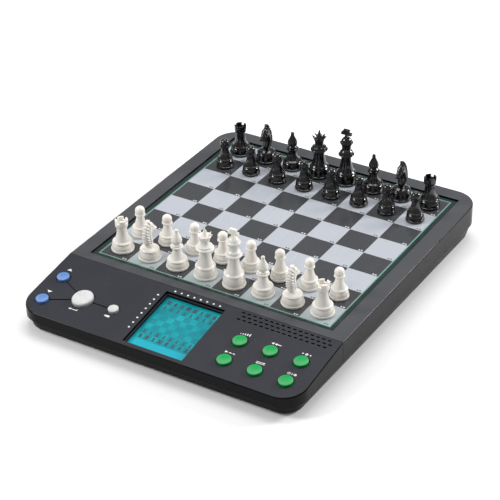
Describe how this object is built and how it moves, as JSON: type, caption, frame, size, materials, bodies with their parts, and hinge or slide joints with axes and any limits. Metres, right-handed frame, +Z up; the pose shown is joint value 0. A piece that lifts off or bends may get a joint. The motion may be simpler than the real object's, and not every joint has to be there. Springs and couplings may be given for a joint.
{
  "type": "electronic chess computer",
  "caption": "Tabletop chess computer: a pressure-sensitive board with turned pieces, a sloping control panel with a display, round buttons and a speaker grille, and a battery bay underneath.",
  "frame": {"origin": "on the table, under the middle of the case", "axes": "+X to the player's right, +Y away from the player, towards the black pieces, +Z up"},
  "size_m": [0.2374, 0.302, 0.0783],
  "materials": {
    "satin_grey_plastic": "satin, very fine grain",
    "dark_grey_plastic": "satin, very fine grain",
    "black_plastic": "semi-gloss",
    "board_print": "printed squares under a satin film",
    "membrane_film": "thin polyester film",
    "steel_sheet": "rolled",
    "lcd_glass": "clear",
    "lcd_module": "blue-green display",
    "circuit_board": "solder mask",
    "silicone_rubber": "moulded silicone",
    "speaker_metal": "stamped",
    "cell_jacket": "printed jacket",
    "spring_steel": "nickel plated",
    "foot_rubber": "matt",
    "zinc_steel": "zinc plated",
    "green_plastic": "satin",
    "blue_plastic": "satin",
    "white_plastic": "satin",
    "ivory_plastic": "satin",
    "ebony_plastic": "polished"
  },
  "bodies": {
    "case": {"board_cover": "satin_grey_plastic", "control_panel": "dark_grey_plastic", "bottom_cover": "black_plastic", "board_face": "board_print", "touch_membrane": "membrane_film", "steel_plate": "steel_sheet", "lcd_window": "lcd_glass", "lcd_display": "lcd_module", "main_pcb": "circuit_board", "keypad_left": "silicone_rubber", "keypad_right": "silicone_rubber", "speaker": "speaker_metal", "batteries": "cell_jacket", "battery_contacts": "spring_steel", "rubber_feet": "foot_rubber", "case_screws": "zinc_steel", "pcb_screws": "zinc_steel"},
    "battery_door": {"battery_door": "black_plastic"},
    "up_button": {"up_button": "blue_plastic"},
    "down_button": {"down_button": "blue_plastic"},
    "enter_button": {"enter_button": "white_plastic"},
    "clear_button": {"clear_button": "white_plastic"},
    "green_button_1_1": {"green_button_1_1": "green_plastic"},
    "green_button_1_2": {"green_button_1_2": "green_plastic"},
    "green_button_1_3": {"green_button_1_3": "green_plastic"},
    "green_button_2_1": {"green_button_2_1": "green_plastic"},
    "green_button_2_2": {"green_button_2_2": "green_plastic"},
    "green_button_2_3": {"green_button_2_3": "green_plastic"},
    "white_rook_a": {"white_rook_a": "ivory_plastic"},
    "white_pawn_a": {"white_pawn_a": "ivory_plastic"},
    "white_knight_b": {"white_knight_b": "ivory_plastic"},
    "white_pawn_b": {"white_pawn_b": "ivory_plastic"},
    "white_bishop_c": {"white_bishop_c": "ivory_plastic"},
    "white_pawn_c": {"white_pawn_c": "ivory_plastic"},
    "white_queen": {"white_queen": "ivory_plastic"},
    "white_pawn_d": {"white_pawn_d": "ivory_plastic"},
    "white_king": {"white_king": "ivory_plastic"},
    "white_pawn_e": {"white_pawn_e": "ivory_plastic"},
    "white_bishop_f": {"white_bishop_f": "ivory_plastic"},
    "white_pawn_f": {"white_pawn_f": "ivory_plastic"},
    "white_knight_g": {"white_knight_g": "ivory_plastic"},
    "white_pawn_g": {"white_pawn_g": "ivory_plastic"},
    "white_rook_h": {"white_rook_h": "ivory_plastic"},
    "white_pawn_h": {"white_pawn_h": "ivory_plastic"},
    "black_rook_a": {"black_rook_a": "ebony_plastic"},
    "black_pawn_a": {"black_pawn_a": "ebony_plastic"},
    "black_knight_b": {"black_knight_b": "ebony_plastic"},
    "black_pawn_b": {"black_pawn_b": "ebony_plastic"},
    "black_bishop_c": {"black_bishop_c": "ebony_plastic"},
    "black_pawn_c": {"black_pawn_c": "ebony_plastic"},
    "black_queen": {"black_queen": "ebony_plastic"},
    "black_pawn_d": {"black_pawn_d": "ebony_plastic"},
    "black_king": {"black_king": "ebony_plastic"},
    "black_pawn_e": {"black_pawn_e": "ebony_plastic"},
    "black_bishop_f": {"black_bishop_f": "ebony_plastic"},
    "black_pawn_f": {"black_pawn_f": "ebony_plastic"},
    "black_knight_g": {"black_knight_g": "ebony_plastic"},
    "black_pawn_g": {"black_pawn_g": "ebony_plastic"},
    "black_rook_h": {"black_rook_h": "ebony_plastic"},
    "black_pawn_h": {"black_pawn_h": "ebony_plastic"}
  },
  "joints": [
    {"name": "battery_door_hinge", "type": "hinge", "parent": "case", "child": "battery_door", "pos_m": [0, 0.08625, 0.00215], "axis": [1, 0, 0], "range_deg": [0, 75]},
    {"name": "up_button_press", "type": "slide", "parent": "case", "child": "up_button", "axis": [0, 0.153, -0.9882], "range_m": [0, 0.0012], "stiffness_N_per_m": 800, "springref_m": -0.001},
    {"name": "down_button_press", "type": "slide", "parent": "case", "child": "down_button", "axis": [0, 0.153, -0.9882], "range_m": [0, 0.0012], "stiffness_N_per_m": 800, "springref_m": -0.001},
    {"name": "enter_button_press", "type": "slide", "parent": "case", "child": "enter_button", "axis": [0, 0.153, -0.9882], "range_m": [0, 0.0012], "stiffness_N_per_m": 800, "springref_m": -0.001},
    {"name": "clear_button_press", "type": "slide", "parent": "case", "child": "clear_button", "axis": [0, 0.153, -0.9882], "range_m": [0, 0.0012], "stiffness_N_per_m": 800, "springref_m": -0.001},
    {"name": "green_button_1_1_press", "type": "slide", "parent": "case", "child": "green_button_1_1", "axis": [0, 0.153, -0.9882], "range_m": [0, 0.0012], "stiffness_N_per_m": 800, "springref_m": -0.001},
    {"name": "green_button_1_2_press", "type": "slide", "parent": "case", "child": "green_button_1_2", "axis": [0, 0.153, -0.9882], "range_m": [0, 0.0012], "stiffness_N_per_m": 800, "springref_m": -0.001},
    {"name": "green_button_1_3_press", "type": "slide", "parent": "case", "child": "green_button_1_3", "axis": [0, 0.153, -0.9882], "range_m": [0, 0.0012], "stiffness_N_per_m": 800, "springref_m": -0.001},
    {"name": "green_button_2_1_press", "type": "slide", "parent": "case", "child": "green_button_2_1", "axis": [0, 0.153, -0.9882], "range_m": [0, 0.0012], "stiffness_N_per_m": 800, "springref_m": -0.001},
    {"name": "green_button_2_2_press", "type": "slide", "parent": "case", "child": "green_button_2_2", "axis": [0, 0.153, -0.9882], "range_m": [0, 0.0012], "stiffness_N_per_m": 800, "springref_m": -0.001},
    {"name": "green_button_2_3_press", "type": "slide", "parent": "case", "child": "green_button_2_3", "axis": [0, 0.153, -0.9882], "range_m": [0, 0.0012], "stiffness_N_per_m": 800, "springref_m": -0.001},
    {"name": "white_rook_a_lift", "type": "slide", "parent": "case", "child": "white_rook_a", "axis": [0, -0.014, 0.9999], "range_m": [0, 0.06]},
    {"name": "white_pawn_a_lift", "type": "slide", "parent": "case", "child": "white_pawn_a", "axis": [0, -0.014, 0.9999], "range_m": [0, 0.06]},
    {"name": "white_knight_b_lift", "type": "slide", "parent": "case", "child": "white_knight_b", "axis": [0, -0.014, 0.9999], "range_m": [0, 0.06]},
    {"name": "white_pawn_b_lift", "type": "slide", "parent": "case", "child": "white_pawn_b", "axis": [0, -0.014, 0.9999], "range_m": [0, 0.06]},
    {"name": "white_bishop_c_lift", "type": "slide", "parent": "case", "child": "white_bishop_c", "axis": [0, -0.014, 0.9999], "range_m": [0, 0.06]},
    {"name": "white_pawn_c_lift", "type": "slide", "parent": "case", "child": "white_pawn_c", "axis": [0, -0.014, 0.9999], "range_m": [0, 0.06]},
    {"name": "white_queen_lift", "type": "slide", "parent": "case", "child": "white_queen", "axis": [0, -0.014, 0.9999], "range_m": [0, 0.06]},
    {"name": "white_pawn_d_lift", "type": "slide", "parent": "case", "child": "white_pawn_d", "axis": [0, -0.014, 0.9999], "range_m": [0, 0.06]},
    {"name": "white_king_lift", "type": "slide", "parent": "case", "child": "white_king", "axis": [0, -0.014, 0.9999], "range_m": [0, 0.06]},
    {"name": "white_pawn_e_lift", "type": "slide", "parent": "case", "child": "white_pawn_e", "axis": [0, -0.014, 0.9999], "range_m": [0, 0.06]},
    {"name": "white_bishop_f_lift", "type": "slide", "parent": "case", "child": "white_bishop_f", "axis": [0, -0.014, 0.9999], "range_m": [0, 0.06]},
    {"name": "white_pawn_f_lift", "type": "slide", "parent": "case", "child": "white_pawn_f", "axis": [0, -0.014, 0.9999], "range_m": [0, 0.06]},
    {"name": "white_knight_g_lift", "type": "slide", "parent": "case", "child": "white_knight_g", "axis": [0, -0.014, 0.9999], "range_m": [0, 0.06]},
    {"name": "white_pawn_g_lift", "type": "slide", "parent": "case", "child": "white_pawn_g", "axis": [0, -0.014, 0.9999], "range_m": [0, 0.06]},
    {"name": "white_rook_h_lift", "type": "slide", "parent": "case", "child": "white_rook_h", "axis": [0, -0.014, 0.9999], "range_m": [0, 0.06]},
    {"name": "white_pawn_h_lift", "type": "slide", "parent": "case", "child": "white_pawn_h", "axis": [0, -0.014, 0.9999], "range_m": [0, 0.06]},
    {"name": "black_rook_a_lift", "type": "slide", "parent": "case", "child": "black_rook_a", "axis": [0, -0.014, 0.9999], "range_m": [0, 0.06]},
    {"name": "black_pawn_a_lift", "type": "slide", "parent": "case", "child": "black_pawn_a", "axis": [0, -0.014, 0.9999], "range_m": [0, 0.06]},
    {"name": "black_knight_b_lift", "type": "slide", "parent": "case", "child": "black_knight_b", "axis": [0, -0.014, 0.9999], "range_m": [0, 0.06]},
    {"name": "black_pawn_b_lift", "type": "slide", "parent": "case", "child": "black_pawn_b", "axis": [0, -0.014, 0.9999], "range_m": [0, 0.06]},
    {"name": "black_bishop_c_lift", "type": "slide", "parent": "case", "child": "black_bishop_c", "axis": [0, -0.014, 0.9999], "range_m": [0, 0.06]},
    {"name": "black_pawn_c_lift", "type": "slide", "parent": "case", "child": "black_pawn_c", "axis": [0, -0.014, 0.9999], "range_m": [0, 0.06]},
    {"name": "black_queen_lift", "type": "slide", "parent": "case", "child": "black_queen", "axis": [0, -0.014, 0.9999], "range_m": [0, 0.06]},
    {"name": "black_pawn_d_lift", "type": "slide", "parent": "case", "child": "black_pawn_d", "axis": [0, -0.014, 0.9999], "range_m": [0, 0.06]},
    {"name": "black_king_lift", "type": "slide", "parent": "case", "child": "black_king", "axis": [0, -0.014, 0.9999], "range_m": [0, 0.06]},
    {"name": "black_pawn_e_lift", "type": "slide", "parent": "case", "child": "black_pawn_e", "axis": [0, -0.014, 0.9999], "range_m": [0, 0.06]},
    {"name": "black_bishop_f_lift", "type": "slide", "parent": "case", "child": "black_bishop_f", "axis": [0, -0.014, 0.9999], "range_m": [0, 0.06]},
    {"name": "black_pawn_f_lift", "type": "slide", "parent": "case", "child": "black_pawn_f", "axis": [0, -0.014, 0.9999], "range_m": [0, 0.06]},
    {"name": "black_knight_g_lift", "type": "slide", "parent": "case", "child": "black_knight_g", "axis": [0, -0.014, 0.9999], "range_m": [0, 0.06]},
    {"name": "black_pawn_g_lift", "type": "slide", "parent": "case", "child": "black_pawn_g", "axis": [0, -0.014, 0.9999], "range_m": [0, 0.06]},
    {"name": "black_rook_h_lift", "type": "slide", "parent": "case", "child": "black_rook_h", "axis": [0, -0.014, 0.9999], "range_m": [0, 0.06]},
    {"name": "black_pawn_h_lift", "type": "slide", "parent": "case", "child": "black_pawn_h", "axis": [0, -0.014, 0.9999], "range_m": [0, 0.06]}
  ]
}
